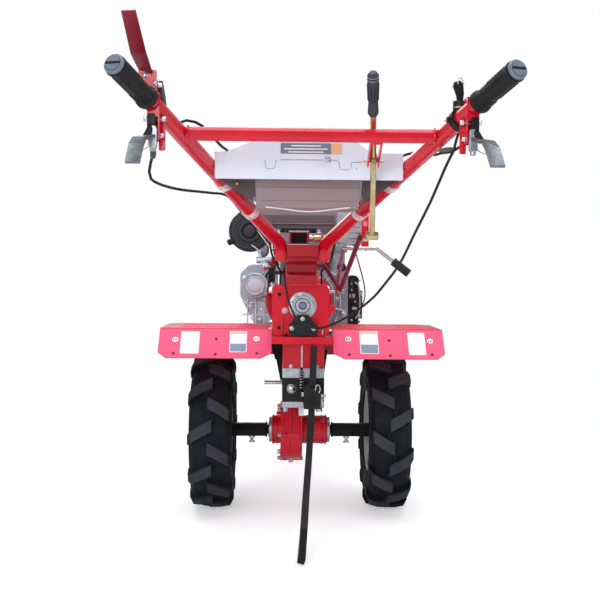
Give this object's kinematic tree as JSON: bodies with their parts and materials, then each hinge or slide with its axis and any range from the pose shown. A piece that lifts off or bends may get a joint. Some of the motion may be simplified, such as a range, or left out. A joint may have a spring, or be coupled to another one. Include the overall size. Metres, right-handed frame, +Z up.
{
  "type": "walking tractor",
  "caption": "Red two-wheeled walking tractor with handlebars, lugged tyres, fenders, air-cooled engine, drag stake and front stand.",
  "frame": {"origin": "on the ground, on the centreline, midway between the grips' ends and the bumper's front", "axes": "+Z up, +Y the way the machine drives, +X to the right of someone walking behind it"},
  "size_m": [0.718, 1.8047, 1.0779],
  "materials": {
    "red_paint": "gloss red",
    "black_paint": "satin black",
    "tyre_rubber": "matt",
    "grip_rubber": "satin",
    "black_plastic": "matt",
    "bare_alloy": "cast, bare",
    "rim_silver": "silver paint",
    "grey_paint": "grey paint",
    "zinc": "zinc plated",
    "yellow_zinc": "yellow zinc plated",
    "pale_sheet": "pale grey sheet",
    "bin_sheet": "grey-brown plastic",
    "muffler_steel": "dull steel"
  },
  "bodies": {
    "chassis": {"air_cleaner": "black_plastic", "bearing_cover": "bare_alloy", "bumper": "red_paint", "cable_clutch": "black_plastic", "cable_left": "black_plastic", "cable_right": "black_plastic", "cable_throttle": "black_plastic", "clutch_lever": "red_paint", "console": "pale_sheet", "console_bin": "bin_sheet", "crankcase": "bare_alloy", "cylinder": "bare_alloy", "drag_stake": "black_paint", "engine_bed": "red_paint", "fan_shroud": "red_paint", "fender_bar": "red_paint", "fender_left": "red_paint", "fender_right": "red_paint", "final_drive_case": "red_paint", "flange_plate_high": "bare_alloy", "flange_plate_low": "bare_alloy", "fuel_tank": "grey_paint", "gearbox_cover": "red_paint", "gearbox_main": "red_paint", "grip_left": "grip_rubber", "grip_right": "grip_rubber", "gusset": "black_paint", "hand_lever_left": "bare_alloy", "hand_lever_right": "bare_alloy", "handle_frame": "red_paint", "handle_post": "red_paint", "head_plate": "red_paint", "hitch_block": "black_paint", "lever_hanger_left": "red_paint", "lever_hanger_right": "red_paint", "lock_knob": "yellow_zinc", "muffler": "muffler_steel", "muffler_guard": "red_paint", "output_ring_left": "bare_alloy", "output_ring_right": "bare_alloy", "range_grip": "black_plastic", "range_lever": "zinc", "recoil_starter": "black_plastic", "shift_fork": "red_paint", "shift_knob": "black_plastic", "shift_lever": "yellow_zinc", "shift_link": "red_paint", "side_cover": "black_plastic", "stake_clamp": "black_paint", "takeoff_cover": "black_paint", "tank_saddle": "red_paint", "throttle": "black_plastic"},
    "wheel_left": {"axle_left": "black_paint", "rim_left": "rim_silver", "tyre_left": "tyre_rubber"},
    "wheel_right": {"axle_right": "black_paint", "rim_right": "rim_silver", "tyre_right": "tyre_rubber"},
    "stand": {"stand_leg": "black_paint"}
  },
  "joints": [
    {"name": "wheel_left_spin", "type": "hinge", "parent": "chassis", "child": "wheel_left", "pos_m": [-0.2315, 0.10625, 0.2075], "axis": [1, 0, 0], "continuous": true},
    {"name": "wheel_right_spin", "type": "hinge", "parent": "chassis", "child": "wheel_right", "pos_m": [0.2315, 0.10625, 0.2075], "axis": [1, 0, 0], "continuous": true},
    {"name": "stand_fold", "type": "hinge", "parent": "chassis", "child": "stand", "pos_m": [0, 0.71625, 0.38], "axis": [-1, 0, 0], "range_deg": [0, 92]}
  ]
}
